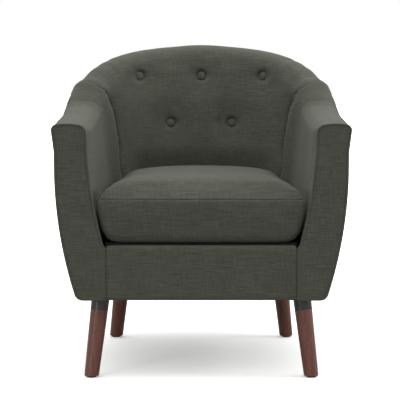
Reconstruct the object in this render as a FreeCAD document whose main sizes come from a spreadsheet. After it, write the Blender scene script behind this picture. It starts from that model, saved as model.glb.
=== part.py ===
"""Barrel accent chair: a curved upholstered shell on four splayed legs, with a loose boxed seat cushion.

X runs to the right as seen from the front, Y to the back and Z up. The origin is on the floor under the
middle of the chair. Pieces are drawn in a frame whose Y starts at the front of the arms, and each one's
Placement moves it forward by half the depth of the chair.
"""
import FreeCAD, Part
import math
import os
import Sketcher
from FreeCAD import Vector

os.makedirs("parts", exist_ok=True)
doc = FreeCAD.newDocument("AccentChair")

# Driving dimensions, in millimetres and degrees
SIZES = {
    # Whole chair
    "arm_front_half_width": 341,
    "arm_spread": 1,
    "arm_length": 400,
    "bend_depth": 291,
    "body_bottom": 188,
    "arm_height": 602,
    "back_height": 770,
    "deck_height": 321,
    # Curved wall: how the outside draws in below its widest line, and how thick the wall is
    "taper_start_height": 500,
    "taper_radius": 1000,
    "hem_round": 12,
    "arm_top_thickness": 75,
    "back_top_thickness": 100,
    "arm_low_thickness": 111,
    "back_low_thickness": 180,
    "arm_outer_round": 14,
    "back_outer_round": 40,
    "arm_inner_round": 22,
    "back_inner_round": 48,
    "arm_crown": 2,
    "back_crown": 0.6,
    "back_lean_angle": 12,
    "seam_drop": 50,
    "arm_flare": 6.5,
    # Layers of the wall
    "cover_thickness": 3,
    "layer_gap": 0.3,
    "batting_thickness": 5,
    "arm_foam_thickness": 30,
    "back_foam_thickness": 42,
    "crest_foam_thickness": 20,
    "panel_thickness": 2,
    "strap_width": 52,
    # Wooden frame
    "rail_height": 25,
    "rail_width": 40,
    "rib_thickness": 22,
    "base_rail_height": 110,
    "base_rail_width": 20,
    "frame_floor_gap": 3,
    "front_rail_depth": 26,
    "seat_back_rail_setback": 146,
    "seat_back_rail_height": 60,
    "seat_back_rail_depth": 24,
    "corner_block_width": 90,
    "corner_block_length": 66,
    "corner_block_height": 50,
    # Facings and front border
    "facing_thickness": 9,
    "welt_width": 4,
    "welt_proud": 1,
    "border_step": 7.5,
    "border_thickness": 11,
    "border_lid_thickness": 14,
    "border_round": 7,
    "dust_cover_thickness": 1.5,
    # Seat springs and deck
    "spring_spacing": 76,
    "spring_wire": 3.6,
    "spring_loop_radius": 11,
    "spring_loop_length": 48,
    "clip_thickness": 1.5,
    "clip_width": 20,
    "clip_inset": 3,
    "deck_cloth_thickness": 1.5,
    "deck_edge_gap": 2,
    # Seat cushion
    "cushion_front_place": -13,
    "cushion_front_inset": 98,
    "cushion_side_inset": 125,
    "cushion_side_setback": 45,
    "cushion_shoulder_inset": 149,
    "cushion_shoulder_advance": 15,
    "cushion_corner_inset": 192,
    "cushion_corner_advance": 66,
    "cushion_rear_setback": 177,
    "cushion_front_round": 40,
    "cushion_seam_height": 425,
    "cushion_top_height": 462,
    "cushion_rest_gap": 0.3,
    "cushion_cover_thickness": 2.5,
    "zip_height": 12,
    "zip_thickness": 1.6,
    "zip_sweep_angle": 44,
    "slider_length": 16,
    "slider_height": 9,
    "slider_thickness": 3,
    # Buttons of the inside back
    "button_radius": 11,
    "button_height": 8,
    "button_round": 3.5,
    "button_top_height": 692,
    "button_lower_height": 569,
    "button_top_spacing": 159,
    "button_lower_spacing": 158,
    "tuft_radius": 40,
    "tuft_depth": 10,
    "twine_radius": 1,
    "toggle_length": 24,
    "toggle_radius": 3,
    # Legs
    "leg_front_inset": 81,
    "leg_rear_inset": 116,
    "leg_front_foot_place": 30,
    "leg_rear_setback": 150,
    "leg_side_splay": 22,
    "leg_depth_splay": 32,
    "leg_foot_radius": 17,
    "leg_top_radius": 22,
    "ferrule_height": 36,
    "ferrule_wall": 2,
    "glide_height": 4,
    "glide_radius": 13,
    "bolt_radius": 4,
    "bolt_reach": 45,
    "bolt_in_leg": 40,
    "nut_radius": 11,
    "nut_thickness": 3,
}

# Sizes that follow from others, as formulas of the sheet
DERIVED = {
    "arm_rear_half_width": "=arm_front_half_width + arm_spread",
    "wall_depth": "=arm_length + bend_depth",
    "border_half_width": "=arm_front_half_width - arm_low_thickness - border_step",
    "seat_back_rail_place": "=wall_depth - seat_back_rail_setback",
    "cushion_half_width": "=arm_front_half_width - cushion_front_inset",
    "cushion_side_half_width": "=arm_rear_half_width - cushion_side_inset",
    "cushion_side_end": "=arm_length - cushion_side_setback",
    "cushion_shoulder_half_width": "=arm_rear_half_width - cushion_shoulder_inset",
    "cushion_shoulder_place": "=arm_length + cushion_shoulder_advance",
    "cushion_corner_half_width": "=arm_rear_half_width - cushion_corner_inset",
    "cushion_corner_place": "=arm_length + cushion_corner_advance",
    "cushion_rear_place": "=wall_depth - cushion_rear_setback",
    "leg_front_foot_half": "=arm_front_half_width - leg_front_inset",
    "leg_rear_foot_half": "=arm_rear_half_width - leg_rear_inset",
    "leg_rear_foot_place": "=wall_depth - leg_rear_setback",
}

# Shares that shape the wall, at these places along it: 0 to 1 down an arm, 1 to 2 round to mid back
PLACE_SHARES = (0, 0.25, 0.5, 0.75, 1, 1.16, 1.3, 1.45, 1.6, 1.78, 2)
CREST_SHARES = (0, 0.03, 0.055, 0.085, 0.19, 0.43, 0.63, 0.79, 0.895, 0.96, 1)
ROLL_SHARES = (0, 0.05, 0.1, 0.18, 0.32, 0.5, 0.65, 0.78, 0.88, 0.97, 1)
ARM_BOW_SHARE = 0.27
BACK_BOW_SHARE = 0.52
# Planes that the lofts pass through, measured from mid back: 2 is the front of an arm
ARM_PLANE_SHARES = (2, 1.7, 1.4, 1.15, 1, 0.88, 0.75)
BACK_PLANE_SHARES = (0.75, 0.6, 0.4, 0.2, 0, -0.2, -0.4, -0.6, -0.75)
RIB_PLACE_SHARES = {"arm_post": 1.965, "arm_rib": 1.3, "corner_rib": 0.68, "back_rib": 0.34}
RIB_STEP_SHARE = 0.01
STRAP_HEIGHT_SHARES = (0.08, 0.3, 0.62)
TUFT_BEND_SHARE = 0.3
TUFT_BEND_DEPTH_SHARE = 0.4
TUFT_RIM_SHARE = 0.15
BUTTON_NAMES = ("top_left", "top_middle", "top_right", "lower_left", "lower_right")
LEG_NAMES = ("front_leg_left", "front_leg_right", "rear_leg_left", "rear_leg_right")
# The cushion's plan against its full size, and the rise from the bottom to the seam and seam to top
CUSHION_SIDE_SHARES = ((0.9, 0), (0.925, 0.055), (0.953, 0.18), (0.984, 0.5), (1, 0.8), (0.99, 1))
CUSHION_CROWN_SHARES = ((0.99, 0), (0.95, 0.3), (0.85, 0.62), (0.68, 0.84), (0.45, 0.96), (0.2, 1))
# Labels of the sub-parts, in the order they are made
SUB_PARTS = []

sheet = doc.addObject("Spreadsheet::Sheet", "Sizes")
for row, (alias, value) in enumerate([*SIZES.items(), *DERIVED.items()], start=1):
    sheet.set(f"A{row}", alias)
    sheet.set(f"B{row}", str(value))
    sheet.setAlias(f"B{row}", alias)
doc.recompute()


def size(alias):
    """A driving dimension, as the sheet holds it."""
    return float(sheet.get(alias))


def to_middle():
    """How far the front of the wall stands in front of the middle of the chair."""
    return Vector(0, (size("facing_thickness") - size("wall_depth")) / 2, 0)


def add_shape(label, shape):
    """A sub-part whose shape is set directly."""
    piece = doc.addObject("Part::Feature", label)
    piece.Label = label
    piece.Shape = shape
    piece.Placement = FreeCAD.Placement(to_middle(), FreeCAD.Rotation()).multiply(shape.Placement)
    SUB_PARTS.append(label)
    return piece


def mirrored(shape):
    """The same shape on the other side of the chair."""
    return shape.mirror(Vector(0, 0, 0), Vector(1, 0, 0))


def add_pair(name, right_shape):
    """A right-hand piece and its mirror image."""
    add_shape(f"{name}_right", right_shape)
    add_shape(f"{name}_left", mirrored(right_shape))


def curve_value(place, shares):
    """A value read from a table of shares by a smooth curve through its points."""
    places = PLACE_SHARES
    last = len(places) - 1
    index = max(i for i in range(last) if places[i] <= place or i == 0)
    span = places[index + 1] - places[index]
    part = (place - places[index]) / span

    def slope(i):
        before, after = max(i - 1, 0), min(i + 1, last)
        if after == last and i == last:
            return 0
        return (shares[after] - shares[before]) / (places[after] - places[before])

    low, high = shares[index], shares[index + 1]
    square, cube = part**2, part**3
    return (
        (2 * cube - 3 * square + 1) * low
        + (cube - 2 * square + part) * span * slope(index)
        + (3 * square - 2 * cube) * high
        + (cube - square) * span * slope(index + 1)
    )


def between(low, high, share):
    """A value part of the way from one to another."""
    return low + (high - low) * share


def draw_in(height):
    """How far the outside is drawn in at a height, by an arc that starts at the widest line."""
    drop = max(size("taper_start_height") - height, 0)
    return size("taper_radius") - math.sqrt(size("taper_radius") ** 2 - drop**2)


class WallPlane:
    """An upright plane square to the wall. Depth is measured inwards from the widest outer line."""

    def __init__(self, from_back):
        side = 1 if from_back >= 0 else -1
        along = 2 - abs(from_back)
        roll = curve_value(along, ROLL_SHARES)
        if along <= 1:
            half = between(size("arm_front_half_width"), size("arm_rear_half_width"), along**2)
            self.foot = Vector(side * half, size("arm_length") * along, 0)
            self.inward = Vector(-side, 0, 0)
        else:
            turn = math.radians(90 * (along - 1))
            wide = size("arm_rear_half_width")
            deep = size("wall_depth") - size("arm_length")
            self.foot = Vector(side * wide * math.cos(turn), size("arm_length") + deep * math.sin(turn), 0)
            self.inward = Vector(-side * math.cos(turn) / wide, -math.sin(turn) / deep, 0).normalize()
        self.crest = between(size("arm_height"), size("back_height"), curve_value(along, CREST_SHARES))
        self.top_thickness = between(size("arm_top_thickness"), size("back_top_thickness"), roll)
        self.low_thickness = between(size("arm_low_thickness"), size("back_low_thickness"), roll)
        self.outer_round = between(size("arm_outer_round"), size("back_outer_round"), roll)
        self.inner_round = between(size("arm_inner_round"), size("back_inner_round"), roll)
        self.crown = between(size("arm_crown"), size("back_crown"), roll)
        self.flare = between(size("arm_flare"), 0, roll)
        self.lean = math.radians(size("back_lean_angle") * roll)
        self.bow = between(ARM_BOW_SHARE, BACK_BOW_SHARE, roll)
        self.foam = between(size("arm_foam_thickness"), size("back_foam_thickness"), roll)
        self.seam = self.crest - self.crown - self.outer_round - size("seam_drop")

    def at(self, depth, height):
        """A point of this plane."""
        return self.foot + self.inward * depth + Vector(0, 0, height)

    def roll_points(self, inset):
        """Over the top, from the outer shoulder, which an arm's padding flares out, to the inner one."""
        outer, inner, flare = self.outer_round, self.inner_round, self.flare
        spring = self.crest - self.crown - outer
        inner_centre = (self.top_thickness - inner, self.crest - self.crown - inner)
        half_turn = math.radians(45)
        inner_half = (math.radians(90) + self.lean) / 2
        return {
            "shoulder": (inset - flare, spring),
            "outer_mid": (
                outer - flare - (outer - inset) * math.cos(half_turn),
                spring + (outer - inset) * math.sin(half_turn),
            ),
            "outer_edge": (outer - flare, spring + outer - inset),
            "crest": ((outer - flare + inner_centre[0]) / 2, self.crest - inset),
            "inner_edge": (inner_centre[0], self.crest - self.crown - inset),
            "inner_mid": (
                inner_centre[0] + (inner - inset) * math.cos(inner_half),
                inner_centre[1] + (inner - inset) * math.sin(inner_half),
            ),
            "inner_shoulder": (
                inner_centre[0] + (inner - inset) * math.cos(self.lean),
                inner_centre[1] + (inner - inset) * math.sin(self.lean),
            ),
        }

    def face_points(self, inset, bottom):
        """Down the inside: the top, middle and bottom of an arc that ends at the deck."""
        top = self.roll_points(inset)["inner_shoulder"]
        full_top = self.roll_points(0)["inner_shoulder"]
        middle = (
            between(full_top[0], self.low_thickness, self.bow) - inset,
            (full_top[1] + bottom) / 2,
        )
        return top, middle, (self.low_thickness - inset, bottom)


def wire_through(plane, corners, bends):
    """A closed outline in a wall plane. A bend is the middle point of the arc after that corner."""
    edges = []
    for index, corner in enumerate(corners):
        start = plane.at(*corner)
        end = plane.at(*corners[(index + 1) % len(corners)])
        if bends.get(index) is None:
            edges.append(Part.makeLine(start, end))
        else:
            edges.append(Part.Arc(start, plane.at(*bends[index]), end).toShape())
    return Part.Wire(edges)


def loft_wall(planes, outline):
    """A solid through the outline that each wall plane has."""
    wires = [wire_through(plane, *outline(plane)) for plane in planes]
    return Part.makeLoft(wires, True, False)


def cover_outline(plane):
    """The inside cover: from the outer seam over the roll and down to the deck."""
    thick = size("cover_thickness")
    out, back = plane.roll_points(0), plane.roll_points(thick)
    face, face_back = plane.face_points(0, size("deck_height")), plane.face_points(thick, size("deck_height"))
    corners = [
        (0, plane.seam), out["shoulder"], out["outer_edge"], out["inner_edge"], out["inner_shoulder"], face[2],
        face_back[2], back["inner_shoulder"], back["inner_edge"], back["outer_edge"], back["shoulder"],
        (thick, plane.seam),
    ]
    bends = {
        1: out["outer_mid"], 2: out["crest"], 3: out["inner_mid"], 4: face[1],
        6: face_back[1], 7: back["inner_mid"], 8: back["crest"], 9: back["outer_mid"],
    }
    return corners, bends


def frame_depth(plane, height):
    """Depth of the frame's inner side at a height: a straight line from the deck to the rails."""
    behind = size("cover_thickness") + size("layer_gap") + plane.foam
    share = (height - size("deck_height")) / (rail_top(plane) - size("deck_height"))
    return between(plane.low_thickness, plane.top_thickness, share) - behind


def rail_top(plane):
    """Height of the top of the rails under the crest."""
    return plane.crest - plane.crown - size("cover_thickness") - size("crest_foam_thickness")


def foam_depths(plane):
    """The foam's own boundary with the frame: outer side, top, and the inner side high and low."""
    behind = size("panel_thickness") + 3 * size("layer_gap")
    outer = size("cover_thickness") + size("batting_thickness")
    high = frame_depth(plane, rail_top(plane)) + behind
    return outer, rail_top(plane), high, frame_depth(plane, size("deck_height")) + behind


def mass_outline(plane, inset, extra=0):
    """The padded mass inside the wall: the roll and face at an inset, closed along the frame."""
    out = plane.roll_points(inset)
    face = plane.face_points(inset, size("deck_height"))
    outer, top, high, low = foam_depths(plane)
    bottom = size("deck_height") - extra
    corners = [
        (inset, plane.seam - extra), out["shoulder"], out["outer_edge"], out["inner_edge"],
        out["inner_shoulder"], face[2], (low - extra, bottom), (high - extra, top - extra),
        (outer + extra, top - extra), (outer + extra, plane.seam - extra),
    ]
    if extra:
        corners.insert(6, (face[2][0], bottom))
    bends = {1: out["outer_mid"], 2: out["crest"], 3: out["inner_mid"], 4: face[1]}
    return corners, bends


def outside_outline(plane):
    """The outside cover: from the hem round up to the seam under the roll."""
    thick, hem = size("cover_thickness"), size("hem_round")
    bottom = size("body_bottom")
    low, high = bottom + hem, plane.seam - size("layer_gap")
    straight = size("taper_start_height")
    middle = (low + straight) / 2
    turn = hem - hem * math.cos(math.radians(45))
    corners = [
        (draw_in(bottom) + hem, bottom), (draw_in(low), low), (0, straight), (0, high), (thick, high),
        (thick, straight), (draw_in(low) + thick, low), (draw_in(bottom) + hem, bottom + thick),
    ]
    bends = {
        0: (draw_in(bottom) + turn, bottom + turn),
        1: (draw_in(middle), middle),
        5: (draw_in(middle) + thick, middle),
    }
    return corners, bends


def frame_floor():
    """Height of the underside of the wooden frame."""
    return size("body_bottom") + size("frame_floor_gap")


def base_rail_top():
    """Height of the top of the base rails."""
    return frame_floor() + size("base_rail_height")


def rib_outline(plane):
    """An upright rib: it follows the outside, and reaches in to the panels and straps."""
    inset = size("cover_thickness") + size("batting_thickness") + 2 * size("layer_gap")
    bottom, straight = base_rail_top() + size("layer_gap"), size("taper_start_height")
    top = rail_top(plane) - 5 * size("layer_gap") - size("rail_height")
    middle = (bottom + straight) / 2
    corners = [
        (draw_in(bottom) + inset, bottom), (inset, straight), (inset, top),
        (frame_depth(plane, top), top), (frame_depth(plane, bottom), bottom),
    ]
    return corners, {0: (draw_in(middle) + inset, middle)}


def rail_outline(plane):
    """The curved rail on top of the ribs."""
    inset = size("cover_thickness") + size("layer_gap") + size("batting_thickness")
    top = rail_top(plane) - 3 * size("layer_gap")
    bottom = top - size("rail_height")
    inner = min(frame_depth(plane, top), inset + size("rail_width"))
    return [(inset, bottom), (inset, top), (inner, top), (inner, bottom)], {}


def base_outline(plane, spare=0):
    """The base rail round the bottom of the body, or with spare room inside it."""
    inset = size("cover_thickness") + size("batting_thickness")
    bottom, top = frame_floor(), base_rail_top()
    low, high = draw_in(bottom) + inset + size("hem_round") / 2, draw_in(top) + inset
    inner = low + size("base_rail_width") + spare
    return [(low, bottom), (high, top), (inner, top), (inner, bottom)], {}


def panel_outline(plane, low_height, high_height):
    """A thin board or strap on the inner side of the frame."""
    near, thick = size("layer_gap"), size("panel_thickness")
    low, high = frame_depth(plane, low_height) + near, frame_depth(plane, high_height) + near
    return [(low, low_height), (high, high_height), (high + thick, high_height), (low + thick, low_height)], {}


def planes_at(shares):
    """The wall planes at places given as shares of a quarter turn from the middle of the back."""
    return [WallPlane(share) for share in shares]


# The padded wall: covers, foam, boards and the wooden frame inside it

ARM_PLANES = planes_at(ARM_PLANE_SHARES)
BACK_PLANES = planes_at(BACK_PLANE_SHARES)


def make_outside_covers():
    """The panels of fabric that close the wall on the outside."""
    add_pair("outside_arm_cover", loft_wall(ARM_PLANES, outside_outline))
    add_shape("outside_back_cover", loft_wall(BACK_PLANES, outside_outline))


def make_arm_padding():
    """The inside arm cover over the arm's foam, and the fibreboard that the foam is glued to."""
    inset = size("cover_thickness") + size("layer_gap")

    def board(plane):
        top = rail_top(plane) - size("rail_height") - size("layer_gap")
        return panel_outline(plane, size("deck_height"), top)

    add_pair("inside_arm_cover", loft_wall(ARM_PLANES, cover_outline))
    add_pair("arm_foam", loft_wall(ARM_PLANES, lambda plane: mass_outline(plane, inset)))
    add_pair("arm_board", loft_wall(ARM_PLANES, board))


def surface_point(solid, across, height):
    """Where a line from the seat towards the back first meets the padding."""
    line = Part.makeLine(Vector(across, 0, height), Vector(across, size("wall_depth"), height))
    ends = [vertex.Point for vertex in line.common(solid).Vertexes]
    return min(ends, key=lambda point: point.y)


def button_places(solid):
    """Centre and outward direction of each button on the face of the padded back."""
    rows = [
        (size("button_top_height"), (-size("button_top_spacing"), 0, size("button_top_spacing"))),
        (size("button_lower_height"), (-size("button_lower_spacing") / 2, size("button_lower_spacing") / 2)),
    ]
    step = size("button_radius")
    places = []
    for height, columns in rows:
        for across in columns:
            here = surface_point(solid, across, height)
            beside = surface_point(solid, across + step, height) - here
            above = surface_point(solid, across, height + step) - here
            places.append((here, beside.cross(above).normalize()))
    return places


def turned_about(profile, place, direction):
    """A solid turned from a closed profile of radius and height, stood on a place along a direction."""
    shape = Part.Face(profile).revolve(Vector(0, 0, 0), Vector(0, 0, 1), 360)
    shape.Placement = FreeCAD.Placement(place, FreeCAD.Rotation(Vector(0, 0, 1), direction))
    return shape


def tuft_hollow(place, direction, sunk):
    """The dimple that a button pulls into the padding. Sunk moves it further in, for a lower layer."""
    floor = size("button_radius") + size("cover_thickness") / 2
    rim, deep = size("tuft_radius"), size("tuft_depth")
    corner = Vector(floor, 0, -deep)
    bend = Vector(between(floor, rim, TUFT_BEND_SHARE), 0, -deep * TUFT_BEND_DEPTH_SHARE)
    edge = Vector(rim, 0, deep * TUFT_RIM_SHARE)
    top = Vector(rim, 0, rim)
    profile = Part.Wire([
        Part.makeLine(Vector(0, 0, -deep), corner),
        Part.Arc(corner, bend, edge).toShape(),
        Part.makeLine(edge, top),
        Part.makeLine(top, Vector(0, 0, rim)),
        Part.makeLine(Vector(0, 0, rim), Vector(0, 0, -deep)),
    ])
    return turned_about(profile, place - direction * sunk, direction)


def make_back_padding():
    """The buttoned inside back: its cover, its foam, the straps behind it, the buttons and their twine."""
    thick, near = size("cover_thickness"), size("layer_gap")
    padded = loft_wall(BACK_PLANES, lambda plane: mass_outline(plane, 0))
    under = loft_wall(BACK_PLANES, lambda plane: mass_outline(plane, thick, 2 * thick))
    foam = loft_wall(BACK_PLANES, lambda plane: mass_outline(plane, thick + near))
    places = button_places(padded)
    reach = size("back_foam_thickness") + size("panel_thickness") + 2 * thick
    buttons, twines, toggles, holes = [], [], [], []
    for name, (place, direction) in zip(BUTTON_NAMES, places):
        padded = padded.cut(tuft_hollow(place, direction, 0))
        under = under.cut(tuft_hollow(place, direction, thick))
        foam = foam.cut(tuft_hollow(place, direction, thick + near))
        seat = place - direction * size("tuft_depth")
        buttons.append(make_button(f"button_{name}", seat + direction * near, direction))
        twine = Part.makeCylinder(size("twine_radius"), reach - size("tuft_depth"), seat, -direction)
        holes.append(Part.makeCylinder(size("twine_radius") + near, reach, seat + direction * near, -direction))
        across = direction.cross(Vector(0, 0, 1)).normalize()
        end = place - direction * reach
        start = end - across * size("toggle_length") / 2 - direction * size("toggle_radius")
        toggles.append(Part.makeCylinder(size("toggle_radius"), size("toggle_length"), start, across))
        twines.append(twine)
    compound("back_buttons", buttons)
    cover = padded.cut(under).cut(Part.makeCompound(holes))
    add_shape("inside_back_cover", cover)
    add_shape("back_foam", foam.cut(Part.makeCompound(holes)))
    add_shape("button_twines", Part.makeCompound(twines))
    add_shape("button_toggles", Part.makeCompound(toggles))


def make_button(label, place, direction):
    """A covered button: a padded disc with a rounded edge."""
    body = doc.addObject("PartDesign::Body", label)
    body.Label = label
    sketch = sketch_on(body, "XY_Plane", f"{label}_rim")
    sketch.addGeometry(Part.Circle(Vector(0, 0, 0), Vector(0, 0, 1), size("button_radius")))
    sketch.addConstraint(Sketcher.Constraint("Coincident", 0, 3, -1, 1))
    sketch.addConstraint(Sketcher.Constraint("Radius", 0, size("button_radius")))
    sketch.setExpression("Constraints[1]", "Sizes.button_radius")
    pad = body.newObject("PartDesign::Pad", f"{label}_disc")
    pad.Profile = sketch
    pad.setExpression("Length", "Sizes.button_height")
    doc.recompute()
    top = max(range(len(pad.Shape.Edges)), key=lambda i: pad.Shape.Edges[i].BoundBox.ZMin)
    rounded = body.newObject("PartDesign::Fillet", f"{label}_edge")
    rounded.Base = (pad, [f"Edge{top + 1}"])
    rounded.setExpression("Radius", "Sizes.button_round")
    body.Tip = rounded
    turn = FreeCAD.Rotation(Vector(0, 0, 1), direction)
    body.Placement = FreeCAD.Placement(place + to_middle(), turn)
    return body


def sketch_on(body, plane_role, name):
    """An empty sketch on one of a body's own origin planes."""
    sketch = body.newObject("Sketcher::SketchObject", name)
    plane = next(item for item in body.Origin.OriginFeatures if item.Role == plane_role)
    sketch.AttachmentSupport = (plane, [""])
    sketch.MapMode = "FlatFace"
    return sketch


def make_back_straps():
    """Woven straps stretched across the ribs behind the back's foam."""
    straps = []
    for share in STRAP_HEIGHT_SHARES:
        low = between(size("deck_height"), size("back_height"), share)
        straps.append(loft_wall(BACK_PLANES, lambda plane: panel_outline(plane, low, low + size("strap_width"))))
    add_shape("back_straps", Part.makeCompound(straps))


def make_rails_and_ribs():
    """The curved rails at the top and bottom of the wall, and the shaped ribs between them."""
    add_pair("arm_rail", loft_wall(ARM_PLANES, rail_outline))
    add_shape("top_back_rail", loft_wall(BACK_PLANES, rail_outline))
    add_pair("base_side_rail", loft_wall(ARM_PLANES, base_outline))
    add_shape("base_back_rail", loft_wall(BACK_PLANES, base_outline))
    for name, middle in RIB_PLACE_SHARES.items():
        reach = (WallPlane(middle).foot - WallPlane(middle - RIB_STEP_SHARE).foot).Length / RIB_STEP_SHARE
        half = size("rib_thickness") / 2 / reach
        add_pair(name, loft_wall(planes_at((middle + half, middle, middle - half)), rib_outline))


# The legs, and what holds them


def leg_line(name):
    """Foot centre and axis of a leg: it splays outwards and away from the middle of the seat."""
    side = 1 if name.endswith("right") else -1
    front = "front" in name
    half = size("leg_front_foot_half") if front else size("leg_rear_foot_half")
    place = size("leg_front_foot_place") if front else size("leg_rear_foot_place")
    lean = Vector(-side * size("leg_side_splay"), size("leg_depth_splay") * (1 if front else -1), frame_floor())
    return Vector(side * half, place, 0), lean


def primitive(kind, label, lengths, place=Vector(0, 0, 0), turn=FreeCAD.Rotation()):
    """A Part primitive with its sizes bound to the sheet, placed in the chair."""
    item = doc.addObject(kind, label)
    item.Label = label
    for name, expression in lengths.items():
        item.setExpression(name, expression)
    item.Placement = FreeCAD.Placement(place + to_middle(), turn)
    return item


def boolean(kind, label, base, tool):
    """One solid cut, kept or joined by another."""
    item = doc.addObject(kind, label)
    item.Label = label
    item.Base = base
    item.Tool = tool
    return item


def compound(label, items):
    """A node that holds several alike solids."""
    item = doc.addObject("Part::Compound", label)
    item.Label = label
    item.Links = items
    SUB_PARTS.append(label)
    return item


def make_legs():
    """Tapered turned legs with a metal ferrule, each bolted through a corner block into a nut."""
    slant = "sqrt(Sizes.leg_side_splay^2 + Sizes.leg_depth_splay^2 + " \
            "(Sizes.body_bottom + Sizes.frame_floor_gap)^2)"
    slab = primitive("Part::Box", "leg_slab", {
        "Length": "2 * Sizes.arm_front_half_width",
        "Width": "Sizes.wall_depth",
        "Height": "Sizes.body_bottom + Sizes.frame_floor_gap - Sizes.glide_height",
    }, Vector(-size("arm_front_half_width"), 0, size("glide_height")))
    bolts, nuts, glides = [], [], []
    for name in LEG_NAMES:
        foot, lean = leg_line(name)
        turn = FreeCAD.Rotation(Vector(0, 0, 1), lean)
        axis = Vector(lean).normalize()
        length = lean.Length
        top = foot + axis * length
        cone = primitive("Part::Cone", f"{name}_cone", {
            "Radius1": "Sizes.leg_foot_radius",
            "Radius2": "Sizes.leg_top_radius",
            "Height": f"{slant} + Sizes.leg_top_radius / 2",
        }, foot, turn)
        shank = boolean("Part::Common", f"{name}_shank", cone, slab)
        sleeve = primitive("Part::Cylinder", f"{name}_sleeve", {
            "Radius": "2 * Sizes.leg_top_radius",
            "Height": "2 * Sizes.ferrule_height",
        }, top - axis * size("ferrule_height"), turn)
        spigot = primitive("Part::Cylinder", f"{name}_spigot", {
            "Radius": "Sizes.leg_top_radius - 1.5 * Sizes.ferrule_wall",
            "Height": "2 * Sizes.ferrule_height",
        }, top - axis * size("ferrule_height"), turn)
        band = boolean("Part::Common", f"{name}_band", shank, sleeve)
        ferrule = boolean("Part::Cut", f"{name}_ferrule", band, spigot)
        wood = boolean("Part::Cut", f"{name}_wood", shank, ferrule)
        bolt = primitive("Part::Cylinder", f"{name}_bolt", {
            "Radius": "Sizes.bolt_radius",
            "Height": "Sizes.bolt_in_leg + Sizes.bolt_reach",
        }, top - axis * size("bolt_in_leg"), turn)
        leg = boolean("Part::Cut", name, wood, bolt)
        nut_disc = primitive("Part::Cylinder", f"{name}_nut_disc", {
            "Radius": "Sizes.nut_radius",
            "Height": "Sizes.nut_thickness",
        }, top + axis * (size("bolt_reach") - 2 * size("nut_thickness")), turn)
        nuts.append(boolean("Part::Cut", f"{name}_nut", nut_disc, bolt))
        bolts.append(bolt)
        glides.append(primitive("Part::Cone", f"{name}_glide", {
            "Radius1": "Sizes.glide_radius - Sizes.glide_height / 2",
            "Radius2": "Sizes.glide_radius",
            "Height": "Sizes.glide_height",
        }, foot))
        SUB_PARTS.extend([ferrule.Label, leg.Label])
    compound("leg_bolts", bolts)
    compound("leg_nuts", nuts)
    compound("leg_glides", glides)


# The front of the chair: facings, welts and the border over the front rail


def facing_wire(inset, overrun):
    """Outline of an arm's front: an inset for the welt, and an overrun where the welt leaves off."""
    plane = WallPlane(ARM_PLANE_SHARES[0])
    hem, bottom, deck = size("hem_round"), size("body_bottom"), size("deck_height")
    low, straight = bottom + hem, size("taper_start_height")
    middle = (low + straight) / 2
    turn = hem - hem * math.cos(math.radians(45))
    seam = size("arm_front_half_width") - size("border_half_width")
    roll = plane.roll_points(inset)
    face = plane.face_points(inset, deck)
    corners = [
        (draw_in(bottom) + hem, bottom - overrun), (draw_in(low) + inset, low), (inset, straight),
        (inset, plane.seam), roll["shoulder"], roll["outer_edge"], roll["inner_edge"],
        roll["inner_shoulder"], face[2], (seam + overrun, deck - hem), (seam + overrun, bottom - overrun),
    ]
    bends = {
        0: (draw_in(bottom) + turn + inset, bottom + turn - overrun / 2),
        1: (draw_in(middle) + inset, middle),
        4: roll["outer_mid"], 5: roll["crest"], 6: roll["inner_mid"], 7: face[1],
    }
    return wire_through(plane, corners, bends)


def make_facings():
    """The flat padded panel that closes the front of each arm, and the welt sewn round its edge."""
    thick, width = size("facing_thickness"), size("welt_width")
    panel_thick = thick - size("welt_proud")
    full = Part.Face(facing_wire(0, 0))
    inner = Part.Face(facing_wire(width, 2 * width))
    panel = full.common(inner).extrude(Vector(0, -panel_thick, 0))
    welt = full.extrude(Vector(0, -thick, 0)).cut(inner.extrude(Vector(0, -thick, 0)))
    add_pair("arm_facing", panel)
    add_pair("facing_welt", welt)


def bound_profile(body, plane_role, name, corners):
    """A closed sketch of straight lines whose corners are bound to expressions of the sheet."""
    sketch = sketch_on(body, plane_role, name)
    values = [tuple(evaluated(text) for text in corner) for corner in corners]
    for index, start in enumerate(values):
        end = values[(index + 1) % len(values)]
        sketch.addGeometry(Part.LineSegment(Vector(*start, 0), Vector(*end, 0)))
    for index in range(len(values)):
        follower = (index + 1) % len(values)
        sketch.addConstraint(Sketcher.Constraint("Coincident", index, 2, follower, 1))
    for index, corner in enumerate(corners):
        for kind, text, value in zip(("DistanceX", "DistanceY"), corner, values[index]):
            row = sketch.addConstraint(Sketcher.Constraint(kind, -1, 1, index, 1, value))
            sketch.setExpression(f"Constraints[{row}]", text)
    return sketch


def evaluated(text):
    """The value of an expression of the sheet's cells."""
    return float(sheet.evalExpression(text.replace("Sizes.", "")))


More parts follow.
